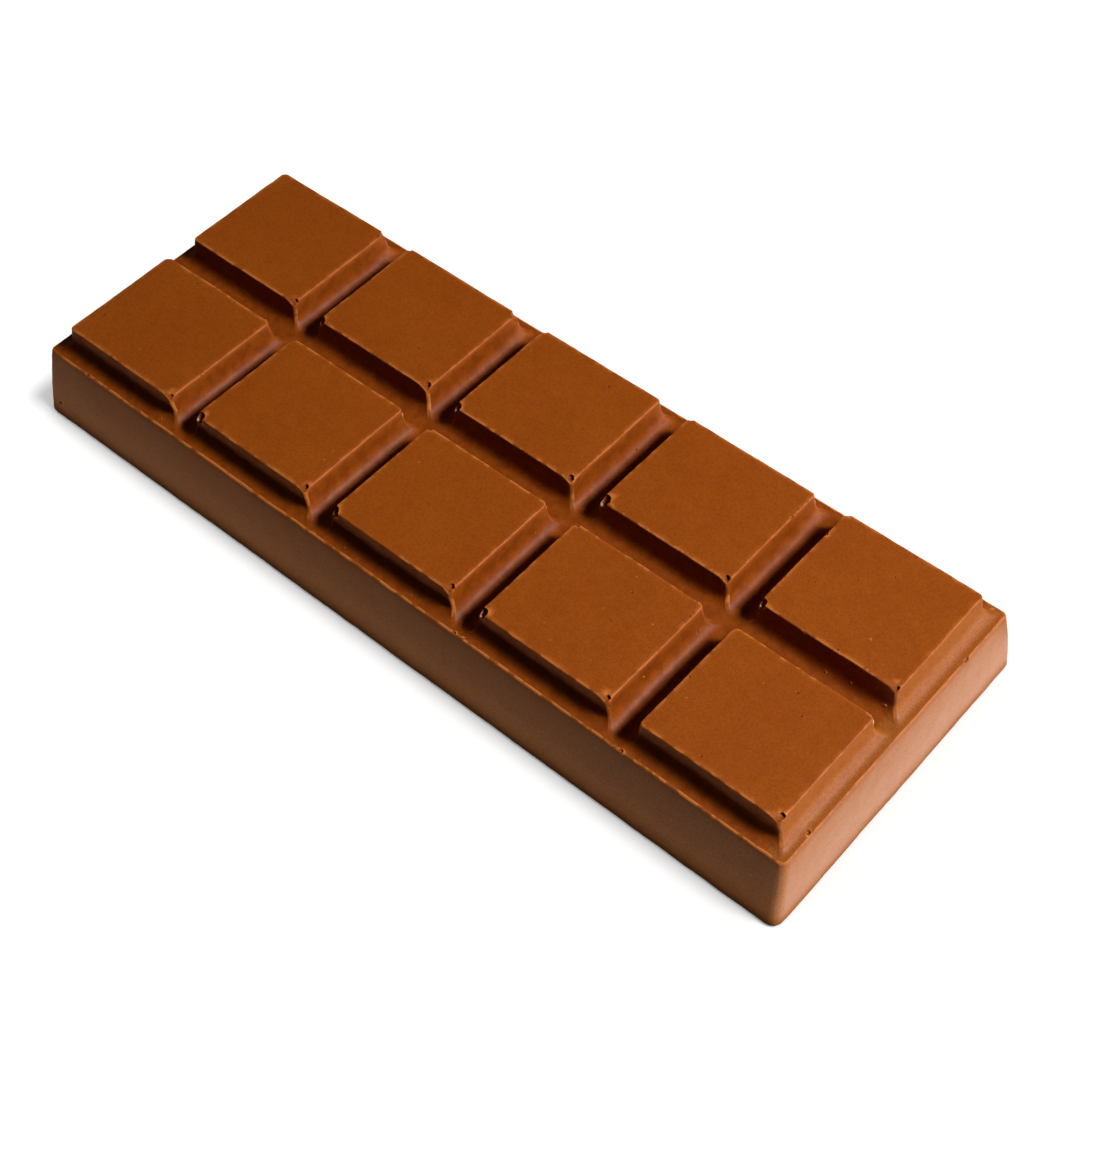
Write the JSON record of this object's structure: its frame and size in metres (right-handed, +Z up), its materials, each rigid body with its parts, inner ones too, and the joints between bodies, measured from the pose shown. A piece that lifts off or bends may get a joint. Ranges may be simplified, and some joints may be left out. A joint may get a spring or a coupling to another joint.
{
  "type": "chocolate bar",
  "caption": "Solid moulded bar of milk chocolate to snap and eat: rows of raised square tiles with steep coved sides on a thick slab whose sides taper towards the top.",
  "frame": {"origin": "centre of the underside, on the surface that the bar lies on", "axes": "+X along the bar, +Y across it, +Z up from the underside to the tops of the tiles"},
  "size_m": [0.1248, 0.0488, 0.0146],
  "materials": {
    "milk_chocolate": "milk chocolate with a soft satin sheen, faint mottling and fine pale specks"
  },
  "bodies": {
    "root": {"chocolate_bar": "milk_chocolate"}
  },
  "joints": []
}
